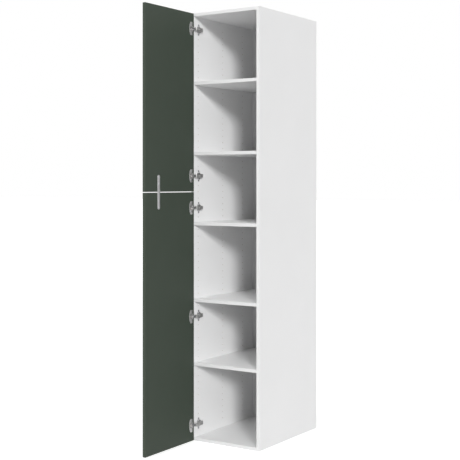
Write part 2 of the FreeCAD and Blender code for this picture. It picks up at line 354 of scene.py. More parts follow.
@dataclass(frozen=True)
class PressedChips(Finish):
    """Bare chipboard inside bored holes and grooves."""

    light: Colour
    shade: Colour
    chip_scale: float = 520.0
    chip_ends: Pair = (0.1, 0.6)
    rough_ends: Pair = (0.75, 0.95)
    fibre_depth: float = 0.3 * MM
    fibre_share: float = 0.6

    def paint(self, bench: NodeBench) -> None:
        """Pale chips with an open, rough surface.

        Args:
            bench: Bench of the finish's material.
        """
        cells = bench.add("ShaderNodeTexVoronoi")
        cells.inputs["Scale"].default_value = self.chip_scale
        bench.join(bench.coordinates, cells.inputs["Vector"])
        fibres = bench.noise(bench.coordinates, self.chip_scale, Grain.BROKEN)
        bench.colour(bench.blend(cells.outputs["Distance"], self.shade, self.light, *self.chip_ends))
        bench.roughness(bench.spread(fibres, *self.rough_ends))
        bench.relief(fibres, self.fibre_depth, self.fibre_share)


@dataclass(frozen=True)
class TurnedWood(Finish):
    """Plain beech of the dowels."""

    light: Colour
    shade: Colour
    grain_stretch: Triple = (30.0, 700.0, 700.0)
    rough_ends: Pair = (0.55, 0.75)
    grain_depth: float = 0.1 * MM
    grain_share: float = 0.5

    def paint(self, bench: NodeBench) -> None:
        """Long grain along the dowel.

        Args:
            bench: Bench of the finish's material.
        """
        grain = bench.noise(bench.stretched(self.grain_stretch), 1.0, Grain.FIBROUS)
        bench.colour(bench.blend(grain, self.shade, self.light))
        bench.roughness(bench.spread(grain, *self.rough_ends))
        bench.relief(grain, self.grain_depth, self.grain_share)


BOARD_FACE = CoatedBoard("board_face", (0.905, 0.905, 0.907), (0.893, 0.893, 0.895))
EDGE_TAPE = CoatedBoard("edge_tape", (0.85, 0.85, 0.85), (0.84, 0.84, 0.84),
                        rough=0.42, pearl_scale=700.0)
# The thin back's face is tinted greyer than the boards. This greyer tone is painted shade: it darkens the
# back of the box, where shade falls.
BACK_FACE_PAINTED_SHADE = CoatedBoard("back_face_painted_shade", (0.755, 0.755, 0.76), (0.735, 0.735, 0.74),
                        rough=0.56, pearl_scale=900.0)
BOARD_CORE = PressedChips("board_core", (0.62, 0.58, 0.52), (0.50, 0.46, 0.40))
GREEN_LACQUER = MattLacquer("green_lacquer", (0.052, 0.066, 0.051), (0.048, 0.062, 0.047))
NICKEL = PlatedSteel("nickel", (0.78, 0.775, 0.765), (0.71, 0.705, 0.70), 0.42)
SATIN_NICKEL = PlatedSteel("satin_nickel", (0.64, 0.637, 0.63), (0.575, 0.572, 0.566), 0.4)
DIE_CAST = PlatedSteel("die_cast", (0.53, 0.53, 0.535), (0.47, 0.47, 0.475), 0.44)
ZINC = PlatedSteel("zinc", (0.66, 0.66, 0.665), (0.59, 0.59, 0.60), 0.46)
LINK_STEEL = PlatedSteel("link_steel", (0.47, 0.47, 0.475), (0.41, 0.41, 0.415), 0.4)
SPRING = PlatedSteel("spring", (0.42, 0.42, 0.43), (0.35, 0.35, 0.36), 0.32)
BEECH = TurnedWood("beech", (0.60, 0.43, 0.27), (0.48, 0.33, 0.19))


def dress_node(node: str, finish: Finish) -> None:
    """Give a carried-over node a finish.

    Args:
        node: Name of the node.
        finish: Finish of its whole surface.
    """
    mesh = frame["nodes"][node].data
    mesh.materials.clear()
    mesh.materials.append(finish.material())
    log.info("node %s takes %s", node, finish.name)


def add_block(mesh: bmesh.types.BMesh, middle: Vector, size: Vector) -> None:
    """Add a block to a mesh, with its size along each axis."""
    place = Matrix.Translation(middle) @ Matrix.Diagonal((*size, 1.0))
    bmesh.ops.create_cube(mesh, size=1.0, matrix=place)


def eased_block(low: Vector, high: Vector, radius: float, facets: int = 3) -> bmesh.types.BMesh:
    """Block with round edges.

    Args:
        low: Lowest corner.
        high: Highest corner.
        radius: Radius of the edges.
        facets: Facets across each edge.

    Returns:
        The mesh under construction.
    """
    mesh = bmesh.new()
    add_block(mesh, (low + high) / 2, high - low)
    bmesh.ops.bevel(mesh, geom=list(mesh.edges), offset=radius, segments=facets, profile=ROUND_PROFILE,
                    affect="EDGES")
    return mesh


def add_rod(mesh: bmesh.types.BMesh, start: Vector, along: Vector, radius: float, sides: int) -> None:
    """Add a closed round rod to a mesh.

    Args:
        mesh: Mesh under construction.
        start: Middle of the first end.
        along: Way and length of the rod.
        radius: Radius of the rod.
        sides: Facets round it.
    """
    turn = along.to_track_quat("Z", "Y").to_matrix().to_4x4()
    place = Matrix.Translation(start + along / 2) @ turn
    bmesh.ops.create_cone(mesh, cap_ends=True, segments=sides, radius1=radius, radius2=radius,
                          depth=along.length, matrix=place)


@dataclass(frozen=True)
class Plane:
    """Flat drawing board in the row frame on which outlines are laid."""

    origin: Vector
    first: Vector
    second: Vector

    def spot(self, along: float, across: float, rise: float = 0.0) -> Vector:
        """Point of the row frame at distances along both directions and off the plane."""
        return self.origin + self.first * along + self.second * across + self.first.cross(self.second) * rise


def rounded_outline(corners: Sequence[Corner], steps: int = 6) -> list[Point]:
    """Closed outline whose corners are arcs.

    Args:
        corners: Place of each corner and its radius, in order round the outline.
        steps: Chords in each arc.

    Returns:
        The outline's points.
    """
    points = []
    for number, (along, across, radius) in enumerate(corners):
        if radius == 0.0:
            points.append((along, across))
            continue
        here = Vector((along, across))
        before = (Vector(corners[number - 1][:2]) - here).normalized()
        after = (Vector(corners[(number + 1) % len(corners)][:2]) - here).normalized()
        half = before.angle(after) / 2
        centre = here + (before + after).normalized() * (radius / math.sin(half))
        first = here + before * (radius / math.tan(half)) - centre
        last = here + after * (radius / math.tan(half)) - centre
        start = math.atan2(first.y, first.x)
        turn = math.remainder(math.atan2(last.y, last.x) - start, math.tau)
        for step in range(steps + 1):
            angle = start + turn * step / steps
            points.append((centre.x + radius * math.cos(angle), centre.y + radius * math.sin(angle)))
    return points


def circle(centre: Point, radius: float, sides: int) -> list[Point]:
    """Points of a round outline, one for each chord."""
    turns = [math.tau * step / sides for step in range(sides)]
    return [(centre[0] + radius * math.cos(turn), centre[1] + radius * math.sin(turn)) for turn in turns]


def mirrored(half: Sequence[Corner]) -> list[Corner]:
    """Corners of a whole outline, from those of its positive half in order along the first direction."""
    return [(a, -b, radius) for a, b, radius in half] + [(a, b, radius) for a, b, radius in reversed(half)]


def add_prism(mesh: bmesh.types.BMesh, plane: Plane, outline: Sequence[Point],
              low: float, high: float) -> None:
    """Add a closed prism over an outline.

    Args:
        mesh: Mesh under construction.
        plane: Plane of the outline.
        outline: Points round the outline.
        low: Distance of the first end off the plane.
        high: Distance of the second end off the plane.
    """
    lower = [mesh.verts.new(plane.spot(along, across, low)) for along, across in outline]
    upper = [mesh.verts.new(plane.spot(along, across, high)) for along, across in outline]
    mesh.faces.new(lower[::-1])
    mesh.faces.new(upper)
    for place in range(len(outline)):
        after = (place + 1) % len(outline)
        mesh.faces.new((lower[place], lower[after], upper[after], upper[place]))


def prism(plane: Plane, outline: Sequence[Point], low: float, high: float) -> bmesh.types.BMesh:
    """New mesh that holds one closed prism.

    Args:
        plane: Plane of the outline.
        outline: Points round the outline.
        low: Distance of the first end off the plane.
        high: Distance of the second end off the plane.

    Returns:
        The mesh under construction.
    """
    mesh = bmesh.new()
    add_prism(mesh, plane, outline, low, high)
    return mesh


def show(name: str, data: bpy.types.Mesh) -> bpy.types.Object:
    """Put a mesh into the scene.

    Args:
        name: Name of the object.
        data: Its finished mesh.

    Returns:
        The new object.
    """
    piece = bpy.data.objects.new(name, data)
    bpy.context.scene.collection.objects.link(piece)
    return piece


def discard(piece: bpy.types.Object) -> None:
    """Remove an object that is used up, with its mesh.

    Args:
        piece: Object to remove.
    """
    data = piece.data
    bpy.data.objects.remove(piece)
    bpy.data.meshes.remove(data)


def make_piece(name: str, mesh: bmesh.types.BMesh, finishes: Sequence[Finish]) -> bpy.types.Object:
    """Turn a finished mesh into an object of the scene.

    Args:
        name: Name of the piece.
        mesh: Mesh under construction, used up here.
        finishes: Finishes in the order of the faces' material numbers.

    Returns:
        The new object.
    """
    data = bpy.data.meshes.new(name)
    bmesh.ops.recalc_face_normals(mesh, faces=list(mesh.faces))
    mesh.to_mesh(data)
    mesh.free()
    for finish in finishes:
        data.materials.append(finish.material())
    return show(name, data)


def apply_modifiers(piece: bpy.types.Object) -> None:
    """Keep the result of a piece's modifiers as its own mesh.

    Args:
        piece: Object whose modifiers are used up.
    """
    graph = bpy.context.evaluated_depsgraph_get()
    result = bpy.data.meshes.new_from_object(piece.evaluated_get(graph))
    spent = piece.data
    piece.modifiers.clear()
    piece.data = result
    bpy.data.meshes.remove(spent)


def combine(piece: bpy.types.Object, tool: bmesh.types.BMesh, join: Join, finish: Finish) -> None:
    """Cut a tool out of a piece or add it; the new faces take the tool's finish.

    Args:
        piece: Object to change.
        tool: Mesh of the tool, used up here.
        join: Whether to cut or to add.
        finish: Finish of the new faces.
    """
    cutter = make_piece(piece.name + "_tool", tool, [finish])
    modifier = piece.modifiers.new("cut", "BOOLEAN")
    modifier.object = cutter
    modifier.operation = join.value
    modifier.solver = "EXACT"
    modifier.material_mode = "TRANSFER"
    apply_modifiers(piece)
    discard(cutter)


def ease_edges(piece: bpy.types.Object, radius: float, facets: int = 2) -> None:
    """Round a piece's sharp edges.

    Args:
        piece: Object to change.
        radius: Radius of the edges.
        facets: Facets across each rounded edge.
    """
    modifier = piece.modifiers.new("ease", "BEVEL")
    modifier.width = radius
    modifier.segments = facets
    modifier.limit_method = "ANGLE"
    modifier.angle_limit = EASED_TURN
    apply_modifiers(piece)


def smooth(piece: bpy.types.Object) -> None:
    """Shade a piece's round faces smoothly and keep its sharp edges."""
    piece.data.shade_smooth()
    piece.data.set_sharp_from_angle(angle=SHARP_TURN)


def copies_at(name: str, model: bpy.types.Object, places: Iterable[Matrix]) -> bpy.types.Object:
    """One piece made of copies of a model.

    Args:
        name: Name of the piece.
        model: Object to copy.
        places: Place of each copy.

    Returns:
        The new object.
    """
    mesh = bmesh.new()
    for place in places:
        copy = model.data.copy()
        copy.transform(place)
        mesh.from_mesh(copy)
        bpy.data.meshes.remove(copy)
    data = bpy.data.meshes.new(name)
    mesh.to_mesh(data)
    mesh.free()
    for material in model.data.materials:
        data.materials.append(material)
    piece = show(name, data)
    smooth(piece)
    return piece


def fit(piece: bpy.types.Object, body: Body, nodes: Iterable[str] = ()) -> None:
    """Put a piece on its body and in place of its nodes.

    Args:
        piece: Object in place in the row frame.
        body: Body that carries it.
        nodes: Nodes it stands for.
    """
    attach(piece, body.value)
    for node in nodes:
        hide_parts(node)
    log.info("piece %s rides on %s", piece.name, body.value)


def mark_faces(mesh: bmesh.types.BMesh, number: int, chosen: Callable[[bmesh.types.BMFace], bool]) -> None:
    """Give the chosen faces a material number.

    Args:
        mesh: Mesh under construction.
        number: Material number to give.
        chosen: Test that picks the faces.
    """
    mesh.normal_update()
    for face in mesh.faces:
        if chosen(face):
            face.material_index = number


@dataclass
class Carcass:
    """White box of two sides, top, bottom, thin back and five shelves."""

    edge_radius: float = 0.7 * MM
    hole_radius: float = 2.5 * MM
    hole_depth: float = 12.0 * MM
    hole_sides: int = 18
    hole_pitch: float = 32.0 * MM
    first_row: int = 2
    last_row: int = 65
    column_insets: Triple = (37.0 * MM, 261.0 * MM, 453.0 * MM)
    groove_play: float = 0.1 * MM
    shelf_count: int = 5
    pocket_width: float = 7.0 * MM
    pocket_length: float = 10.0 * MM

    def board(self, node: str, thickness: Vector) -> bpy.types.Object:
        """Board with taped edges in place of its node.

        Args:
            node: Name of the node.
            thickness: Direction square to the board's wide faces.

        Returns:
            The new board, not yet on its body.
        """
        low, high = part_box(node)
        mesh = eased_block(low, high, self.edge_radius)
        mark_faces(mesh, 1, lambda face: abs(face.normal.dot(thickness)) < FACING)
        return make_piece(node + "_board", mesh, [BOARD_FACE, EDGE_TAPE, BOARD_CORE])

    def groove_tool(self, mesh: bmesh.types.BMesh) -> None:
        """Add the groove's space round the thin back to a tool.

        Args:
            mesh: Tool under construction.
        """
        low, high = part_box("back_panel")
        play = Vector((self.groove_play,) * 3)
        add_block(mesh, (low + high) / 2, high - low + 2 * play)

    def side(self, node: str, inward: float) -> None:
        """One side, line-bored in three columns and grooved for the back.

        Args:
            node: Name of the side's node.
            inward: Sign of the direction into the box along x.
        """
        low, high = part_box(node)
        face = high.x if inward > 0 else low.x
        tool = bmesh.new()
        self.groove_tool(tool)
        lead = RIGHT * (inward * self.hole_depth)
        for row in range(self.first_row, self.last_row + 1):
            for inset in self.column_insets:
                mouth = Vector((face, low.y + inset, row * self.hole_pitch))
                add_rod(tool, mouth + lead, -2 * lead, self.hole_radius, self.hole_sides)
        piece = self.board(node, RIGHT)
        combine(piece, tool, Join.CUT, BOARD_CORE)
        fit(piece, Body.CARCASS, [node])

    def end(self, node: str) -> None:
        """Top or bottom board, grooved for the back.

        Args:
            node: Name of the board's node.
        """
        tool = bmesh.new()
        self.groove_tool(tool)
        piece = self.board(node, UP)
        combine(piece, tool, Join.CUT, BOARD_CORE)
        fit(piece, Body.CARCASS, [node])

    def shelf(self, number: int) -> None:
        """One shelf with the four pockets that hide its pins.

        Args:
            number: Number of the shelf from below.
        """
        node = f"shelf_{number}"
        low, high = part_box(node)
        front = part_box("left_side_panel")[0].y
        tool = bmesh.new()
        size = Vector((2 * self.pocket_length, self.pocket_width, high.z - low.z + 2 * self.hole_radius))
        for end in (low.x, high.x):
            for inset in (self.column_insets[0], self.column_insets[2]):
                add_block(tool, Vector((end, front + inset, low.z)), size)
        piece = self.board(node, UP)
        combine(piece, tool, Join.CUT, BOARD_CORE)
        fit(piece, Body.CARCASS, [node])

    def build(self) -> None:
        """Make the boards and dress the hidden small parts."""
        self.side("left_side_panel", 1.0)
        self.side("right_side_panel", -1.0)
        self.end("bottom_panel")
        self.end("top_panel")
        for number in range(1, self.shelf_count + 1):
            self.shelf(number)
        # The thin back takes the greyer face, which is painted shade for the dim back of the box.
        dress_node("back_panel", BACK_FACE_PAINTED_SHADE)
        dress_node("corner_dowels", BEECH)
        dress_node("shelf_pins", ZINC)


@dataclass(frozen=True)
class CrossScrew:
    """Raised screw head with a cross recess; every head here faces right when the doors are open."""

    radius: float
    height: float
    finish: Finish
    slot_half_length: float = 2.0 * MM
    slot_half_width: float = 0.5 * MM
    slot_depth: float = 1.0 * MM
    sides: int = 32
    dome: tuple[Point, ...] = ((1.0, 0.0), (1.0, 0.3), (0.94, 0.62), (0.76, 0.9), (0.5, 1.0))
    turn_step: float = math.radians(37.0)

    def head(self) -> bpy.types.Object:
        """One head on the plane of its seat.

        Returns:
            The model of the head, seated at the origin.
        """
        plane = Plane(Vector(), BACK, UP)
        mesh = bmesh.new()
        loops = [
            [mesh.verts.new(plane.spot(*point, rise * self.height))
             for point in circle((0.0, 0.0), share * self.radius, self.sides)]
            for share, rise in self.dome
        ]
        for lower, upper in zip(loops, loops[1:]):
            for place in range(self.sides):
                after = (place + 1) % self.sides
                mesh.faces.new((lower[place], lower[after], upper[after], upper[place]))
        mesh.faces.new(loops[0][::-1])
        mesh.faces.new(loops[-1])
        piece = make_piece("screw_head", mesh, [self.finish])
        near, far = self.slot_half_width, self.slot_half_length
        quarter = [(near, near), (far, near), (far, -near)]
        cross = []
        for _ in range(4):
            cross += quarter
            quarter = [(across, -along) for along, across in quarter]
        tool = prism(plane, cross, self.height - self.slot_depth, self.height + self.slot_depth)
        combine(piece, tool, Join.CUT, self.finish)
        return piece

    def placed(self, name: str, seats: Sequence[Vector]) -> bpy.types.Object:
        """A set of these screws.

        Args:
            name: Name of the piece.
            seats: Middle of each seat.

        Returns:
            One piece that holds all the heads.
        """
        model = self.head()
        turns = [Matrix.Rotation(number * self.turn_step, 4, "X") for number in range(len(seats))]
        piece = copies_at(name, model, [Matrix.Translation(seat) @ turn for seat, turn in zip(seats, turns)])
        discard(model)
        return piece


@dataclass
class Doors:
    """Two green slab doors joined by a strip across their gap."""

    edge_radius: float = 1.0 * MM
    cup_radius: float = 17.5 * MM
    cup_depth: float = 12.6 * MM
    cup_from_edge: float = 22.5 * MM
    cup_sides: int = 64
    hinge_count: int = HINGE_COUNT
    strip_edge: float = 0.45 * MM
    strip_edge_facets: int = 3
    strip_end_chords: int = 14
    strip_screw_insets: Pair = (9.5 * MM, 41.5 * MM)
    strip_screw: CrossScrew = CrossScrew(4.0 * MM, 1.6 * MM, ZINC)

    def slab(self, node: str) -> None:
        """One slab with the bores of its hinge cups.

        Args:
            node: Name of the door's node.
        """
        low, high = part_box(node)
        tool = bmesh.new()
        for number in range(1, self.hinge_count + 1):
            cup_low, cup_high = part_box(f"hinge_{number}_cup")
            height = (cup_low.z + cup_high.z) / 2
            if low.z < height < high.z:
                mouth = Vector((high.x, high.y - self.cup_from_edge, height))
                add_rod(tool, mouth + RIGHT * self.cup_depth, RIGHT * (-2 * self.cup_depth),
                        self.cup_radius, self.cup_sides)
        mesh = eased_block(low, high, self.edge_radius)
        piece = make_piece(node + "_slab", mesh, [GREEN_LACQUER, BOARD_CORE])
        combine(piece, tool, Join.CUT, BOARD_CORE)
        fit(piece, Body.DOORS, [node])

    def strip(self) -> None:
        """Flat strip with round ends and its four screws."""
        low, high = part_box("coupling_plate")
        half = (high.y - low.y) / 2
        middle = Vector((low.x, low.y + half, (low.z + high.z) / 2))
        reach = (high.z - low.z) / 2
        plane = Plane(middle, BACK, UP)
        ends = mirrored([(-half, reach, half * ALMOST), (half, reach, half * ALMOST)])
        outline = rounded_outline(ends, self.strip_end_chords)
        piece = make_piece("coupling_strip", prism(plane, outline, 0.0, high.x - low.x), [ZINC])
        ease_edges(piece, self.strip_edge, self.strip_edge_facets)
        smooth(piece)
        fit(piece, Body.DOORS, ["coupling_plate"])
        seats = [
            Vector((high.x, middle.y, middle.z + sign * (reach - inset)))
            for sign in BOTH_SIGNS for inset in self.strip_screw_insets
        ]
        screws = self.strip_screw.placed("coupling_strip_screws", seats)
        fit(screws, Body.DOORS, ["coupling_screws"])

    def build(self) -> None:
        """Make the slabs and the strip."""
        self.slab("lower_door")
        self.slab("upper_door")
        self.strip()


def joint_place(name: str) -> Point:
    """Place of a named upright joint in plan, as its x and y."""
    place = next(joint["pos_m"] for joint in frame["joints"] if joint["name"] == name)
    return place[0], place[1]


@dataclass
class Hinges:
    """Five concealed hinges, each of cup, arm, mounting plate and two links."""

    count: int = HINGE_COUNT
    edge: float = 0.3 * MM
    pin_sides: int = 24
    cup_sides: int = 72
    arm_half: float = 9.0 * MM
    arm_wall: float = 1.2 * MM
    arm_foot: float = 3.6 * MM
    arm_top: float = 16.2 * MM
    arm_nose: float = -0.9 * MM
    arm_nose_top: float = 9.0 * MM
    arm_web_front: float = 3.3 * MM
    arm_tail: float = 66.0 * MM
    arm_tail_taper: float = 9.0 * MM
    arm_foot_round: float = 0.8 * MM
    arm_nose_round: float = 1.5 * MM
    arm_crown_round: float = 3.0 * MM
    arm_back_round: float = 4.0 * MM
    arm_inner_rounds: Pair = (2.5 * MM, 2.0 * MM)
    arm_edge: float = 0.9 * MM
    arm_edge_facets: int = 3
    arm_slot: Pair = (41.0 * MM, 54.0 * MM)
    arm_slot_half: float = 3.4 * MM
    arm_slot_round: float = 3.3 * MM
    arm_screw_places: Pair = (26.0 * MM, 48.0 * MM)
    arm_screw_sink: float = 0.8 * MM
    rivet_radius: float = 1.7 * MM
    rivet_proud: float = 0.35 * MM
    pin_radius: float = 1.0 * MM
    plate_front: float = 20.0 * MM
    plate_half: float = 9.0 * MM
    plate_thickness: float = 3.5 * MM
    plate_tail: float = 72.0 * MM
    plate_tip_half: float = 2.2 * MM
    plate_front_round: float = 1.5 * MM
    plate_round: float = 2.0 * MM
    plate_edge: float = 0.6 * MM
    shoulder_front: float = 24.0 * MM
    shoulder_half: float = 17.0 * MM
    wing_middle: float = 37.0 * MM
    wing_root_half: float = 6.0 * MM
    wing_tip_half: float = 4.0 * MM
    wing_reach: float = 28.0 * MM
    wing_round: float = 3.6 * MM
    spine_half: float = 7.1 * MM
    spine_round: float = 1.0 * MM
    spine_root: float = 1.5 * MM
    spine_height: float = 10.0 * MM
    spine_front: float = 24.0 * MM
    spine_back: float = 58.0 * MM
    plate_screw_offset: float = 16.0 * MM
    wing_slot: Pair = (13.0 * MM, 25.8 * MM)
    wing_slot_half: float = 2.5 * MM
    flange_near: float = 14.5 * MM
    flange_far: float = 40.0 * MM
    flange_end_far: float = 31.0 * MM
    flange_half: float = 33.0 * MM
    flange_shoulder: Point = (37.0 * MM, 20.0 * MM)
    flange_waist: float = 8.0 * MM
    flange_near_round: float = 3.0 * MM
    flange_end_round: float = 6.0 * MM
    flange_shoulder_round: float = 20.0 * MM
    flange_waist_round: float = 16.0 * MM
    flange_thickness: float = 1.0 * MM
    cup_middle: float = 22.5 * MM
    cup_radius: float = 17.4 * MM
    cup_depth: float = 12.5 * MM
    cup_floor: float = 0.5 * MM
    trough_half: float = 7.0 * MM
    trough_far: float = 36.5 * MM
    trough_round: float = 2.0 * MM
    cup_screw_along: float = 31.5 * MM
    cup_screw_offset: float = 22.5 * MM
    link_half_width: float = 1.6 * MM
    link_bend_round: float = 0.5 * MM
    eye_play: float = 0.05 * MM
    cheek_low: float = 4.0 * MM
    cheek_high: float = 5.9 * MM
    inner_link_half: float = 3.4 * MM
    fork_pin_radius: float = 0.8 * MM
    fork_pin_sides: int = 20
    fork_play: float = 0.22 * MM
    fork_slack_back: float = 0.75 * MM
    fork_reach: float = 1.3 * MM
    cup_pin_step: Point = (-4.3 * MM, -0.1 * MM)
    outer_bend_step: Point = (8.8 * MM, -1.0 * MM)
    inner_bend_step: Point = (12.2 * MM, 0.0)
    web_reach: Pair = (2.6 * MM, 7.0 * MM)
    web_thickness: float = 1.0 * MM
    plate_screw: CrossScrew = CrossScrew(4.0 * MM, 1.7 * MM, ZINC)
    cup_screw: CrossScrew = CrossScrew(3.4 * MM, 0.9 * MM, ZINC, 1.7 * MM, 0.45 * MM, 0.7 * MM)
    arm_screw: CrossScrew = CrossScrew(3.1 * MM, 1.9 * MM, NICKEL, 1.8 * MM, 0.45 * MM, 1.1 * MM)
    side: Plane = field(init=False)
    face: Plane = field(init=False)
    plan: Plane = field(init=False)
    outer_arm: Vector = field(init=False)
    inner_arm: Vector = field(init=False)
    outer_cup: Vector = field(init=False)
    inner_cup: Vector = field(init=False)
    heights: list[float] = field(init=False)

    def __post_init__(self) -> None:
        """Take the planes, pivots and heights from the frame."""
        side_low, side_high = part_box("left_side_panel")
        door_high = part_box("lower_door")[1]
        self.side = Plane(Vector((side_high.x, side_low.y, 0.0)), BACK, UP)
        self.face = Plane(Vector((door_high.x, door_high.y, 0.0)), -BACK, -UP)
        self.plan = Plane(Vector(), RIGHT, BACK)
        self.outer_arm = Vector(joint_place("outer_link_swing"))
        self.inner_arm = Vector(joint_place("inner_link_swing"))
        self.outer_cup = Vector(joint_place("door_swing"))
        self.inner_cup = self.outer_cup + Vector(self.cup_pin_step)
        boxes = [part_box(f"hinge_{number}_plate") for number in range(1, self.count + 1)]
        self.heights = [(low.z + high.z) / 2 for low, high in boxes]

    def profile(self, corners: Sequence[Corner]) -> list[Point]:
        """Plan outline from corners given as height over the side board, depth behind the front, radius."""
        origin = self.side.origin
        return [(origin.x + rise, origin.y + depth) for rise, depth in rounded_outline(corners)]

    def plate(self) -> bpy.types.Object:
        """Arrow-shaped mounting plate with two wings and a raised spine.

        Returns:
            The model at height zero.
        """
        near, far = self.wing_middle - self.wing_root_half, self.wing_middle + self.wing_root_half
        tip, bend = self.wing_tip_half, self.plate_round
        arrow = rounded_outline(mirrored([
            (self.plate_front, self.plate_half, self.plate_front_round),
            (self.shoulder_front, self.plate_half, bend), (near, self.shoulder_half, bend),
            (self.wing_middle - tip, self.wing_reach, self.wing_round),
            (self.wing_middle + tip, self.wing_reach, self.wing_round),
            (far, self.shoulder_half, bend), (self.plate_tail, self.plate_tip_half, bend),
        ]))
        piece = make_piece("plate_model", prism(self.side, arrow, 0.0, self.plate_thickness), [DIE_CAST])
        ease_edges(piece, self.plate_edge)
        spine = rounded_outline(mirrored([
            (self.spine_front, self.spine_half, self.spine_round),
            (self.spine_back, self.spine_half, self.spine_round),
        ]))
        combine(piece, prism(self.side, spine, self.spine_root, self.spine_height), Join.ADD, DIE_CAST)
        half, thickness = self.wing_slot_half, self.plate_thickness
        left, right, eye = self.wing_middle - half, self.wing_middle + half, half * ALMOST
        for sign in BOTH_SIGNS:
            first, last = (sign * reach for reach in self.wing_slot)
            slot = rounded_outline([
                (left, first, eye), (right, first, eye), (right, last, eye), (left, last, eye),
            ])
            combine(piece, prism(self.side, slot, -thickness, 2 * thickness), Join.CUT, DIE_CAST)
        return piece

    def arm(self) -> bpy.types.Object:
        """Pressed channel with riveted pins, open towards the side board and at the nose.

        Returns:
            The model at height zero.
        """
        foot, top, nose, tail = self.arm_foot, self.arm_top, self.arm_nose, self.arm_tail
        taper, wall = self.arm_tail_taper, self.arm_wall
        outside = self.profile([
            (foot, nose, self.arm_foot_round), (self.arm_nose_top, nose, self.arm_nose_round),
            (top, self.arm_web_front, self.arm_crown_round), (top, tail - taper, self.arm_back_round),
            (top - taper, tail, self.arm_crown_round), (foot, tail, self.arm_foot_round),
        ])
        half = self.arm_half
        piece = make_piece("arm_model", prism(self.plan, outside, -half, half), [SATIN_NICKEL])
        ease_edges(piece, self.arm_edge, self.arm_edge_facets)
        below, before = foot - 2 * wall, nose - 2 * wall
        back_round, tail_round = self.arm_inner_rounds
        hollow = self.profile([
            (below, before, 0.0), (top - wall, before, 0.0), (top - wall, tail - taper, back_round),
            (top - taper, tail - wall, tail_round), (below, tail - wall, 0.0),
        ])
        inside = half - wall
        combine(piece, prism(self.plan, hollow, -inside, inside), Join.CUT, SATIN_NICKEL)
        first, last = self.arm_slot
        across, bend = self.arm_slot_half, self.arm_slot_round
        slot = rounded_outline(mirrored([(first, across, bend), (last, across, bend)]))
        combine(piece, prism(self.side, slot, top - 2 * wall, top + wall), Join.CUT, SATIN_NICKEL)
        for place in (self.outer_arm, self.inner_arm):
            end = half + self.rivet_proud
            for low, high in ((-end, -inside), (inside, end)):
                rivet = circle(tuple(place), self.rivet_radius, self.pin_sides)
                combine(piece, prism(self.plan, rivet, low, high), Join.ADD, SATIN_NICKEL)
            pin = circle(tuple(place), self.pin_radius, self.pin_sides)
            combine(piece, prism(self.plan, pin, -half, half), Join.ADD, SATIN_NICKEL)
        return piece

    def cup(self) -> bpy.types.Object:
        """Round cup with its flange, trough and pins.

        Returns:
            The model at height zero, on the open door.
        """
        near, far = self.flange_near, self.flange_far
        flange = rounded_outline(mirrored([
            (near, self.flange_half, self.flange_near_round),
            (self.flange_end_far, self.flange_half, self.flange_end_round),
            (*self.flange_shoulder, self.flange_shoulder_round),
            (far, self.flange_waist, self.flange_waist_round),
        ]))
        piece = make_piece("cup_model", prism(self.face, flange, 0.0, self.flange_thickness), [NICKEL])
        ease_edges(piece, self.edge)
        body = circle((self.cup_middle, 0.0), self.cup_radius, self.cup_sides)
        rim = self.flange_thickness / 2
        combine(piece, prism(self.face, body, -self.cup_depth, rim), Join.ADD, NICKEL)
        half = self.trough_half
        trough = rounded_outline(mirrored([(-far, half, 0.0), (self.trough_far, half, self.trough_round)]))
        tool = prism(self.face, trough, self.cup_floor - self.cup_depth, far)
        combine(piece, tool, Join.CUT, NICKEL)
        stub = self.cheek_low - self.fork_play
        for low, high in ((-half - rim, -stub), (stub, half + rim)):
            pin = circle(tuple(self.outer_cup), self.pin_radius, self.pin_sides)
            combine(piece, prism(self.plan, pin, low, high), Join.ADD, NICKEL)
        pin = circle(tuple(self.inner_cup), self.fork_pin_radius, self.fork_pin_sides)
        combine(piece, prism(self.plan, pin, -half - rim, half + rim), Join.ADD, NICKEL)
        return piece

    def bent_bar(self, start: Vector, bend: Vector, end: Vector) -> list[Point]:
        """Plan outline of a bar with round ends and one bend.

        Args:
            start: Middle of the first eye.
            bend: Middle of the bar at its bend.
            end: Middle of the last eye.

        Returns:
            The outline's points.
        """
        half = self.link_half_width
        first, second = (bend - start).normalized(), (end - bend).normalized()
        left_first, left_second = Vector((-first.y, first.x)), Vector((-second.y, second.x))
        mitre = (left_first + left_second) * (half / (1.0 + left_first.dot(left_second)))
        eye, bent = half * ALMOST, self.link_bend_round
        return rounded_outline([
            (*(start - first * half + left_first * half), eye), (*(bend + mitre), bent),
            (*(end + second * half + left_second * half), eye),
            (*(end + second * half - left_second * half), eye), (*(bend - mitre), bent),
            (*(start - first * half - left_first * half), eye),
        ])

    def outer_link(self) -> bpy.types.Object:
        """Forked link of two hooked cheeks and a web.

        Returns:
            The model at height zero.
        """
        bend = self.outer_cup + Vector(self.outer_bend_step)
        bar = self.bent_bar(self.outer_arm, bend, self.outer_cup)
        low, high = self.cheek_low, self.cheek_high
        mesh = prism(self.plan, bar, -high, -low)
        add_prism(mesh, self.plan, bar, low, high)
        piece = make_piece("outer_link_model", mesh, [LINK_STEEL])
        ease_edges(piece, self.edge)
        along = (bend - self.outer_arm).normalized()
        out = Vector((-along.y, along.x))
        edge = self.link_half_width - self.edge
        first, last = self.web_reach
        web = [
            tuple(self.outer_arm + along * reach + out * offset)
            for reach, offset in ((first, edge), (last, edge), (last, edge - self.web_thickness),
                                  (first, edge - self.web_thickness))
        ]
        middle = (low + high) / 2
        combine(piece, prism(self.plan, web, -middle, middle), Join.ADD, LINK_STEEL)
        self.bore(piece, (self.outer_arm, self.outer_cup), high)
        return piece

    def bore(self, piece: bpy.types.Object, places: Iterable[Vector], half: float) -> None:
        """Cut the eyes for the pivot pins.

        Args:
            piece: Link to bore.
            places: Middle of each eye in plan.
            half: Half the link's height.
        """
        for place in places:
            eye = circle(tuple(place), self.pin_radius + self.eye_play, self.pin_sides)
            combine(piece, prism(self.plan, eye, -2 * half, 2 * half), Join.CUT, LINK_STEEL)

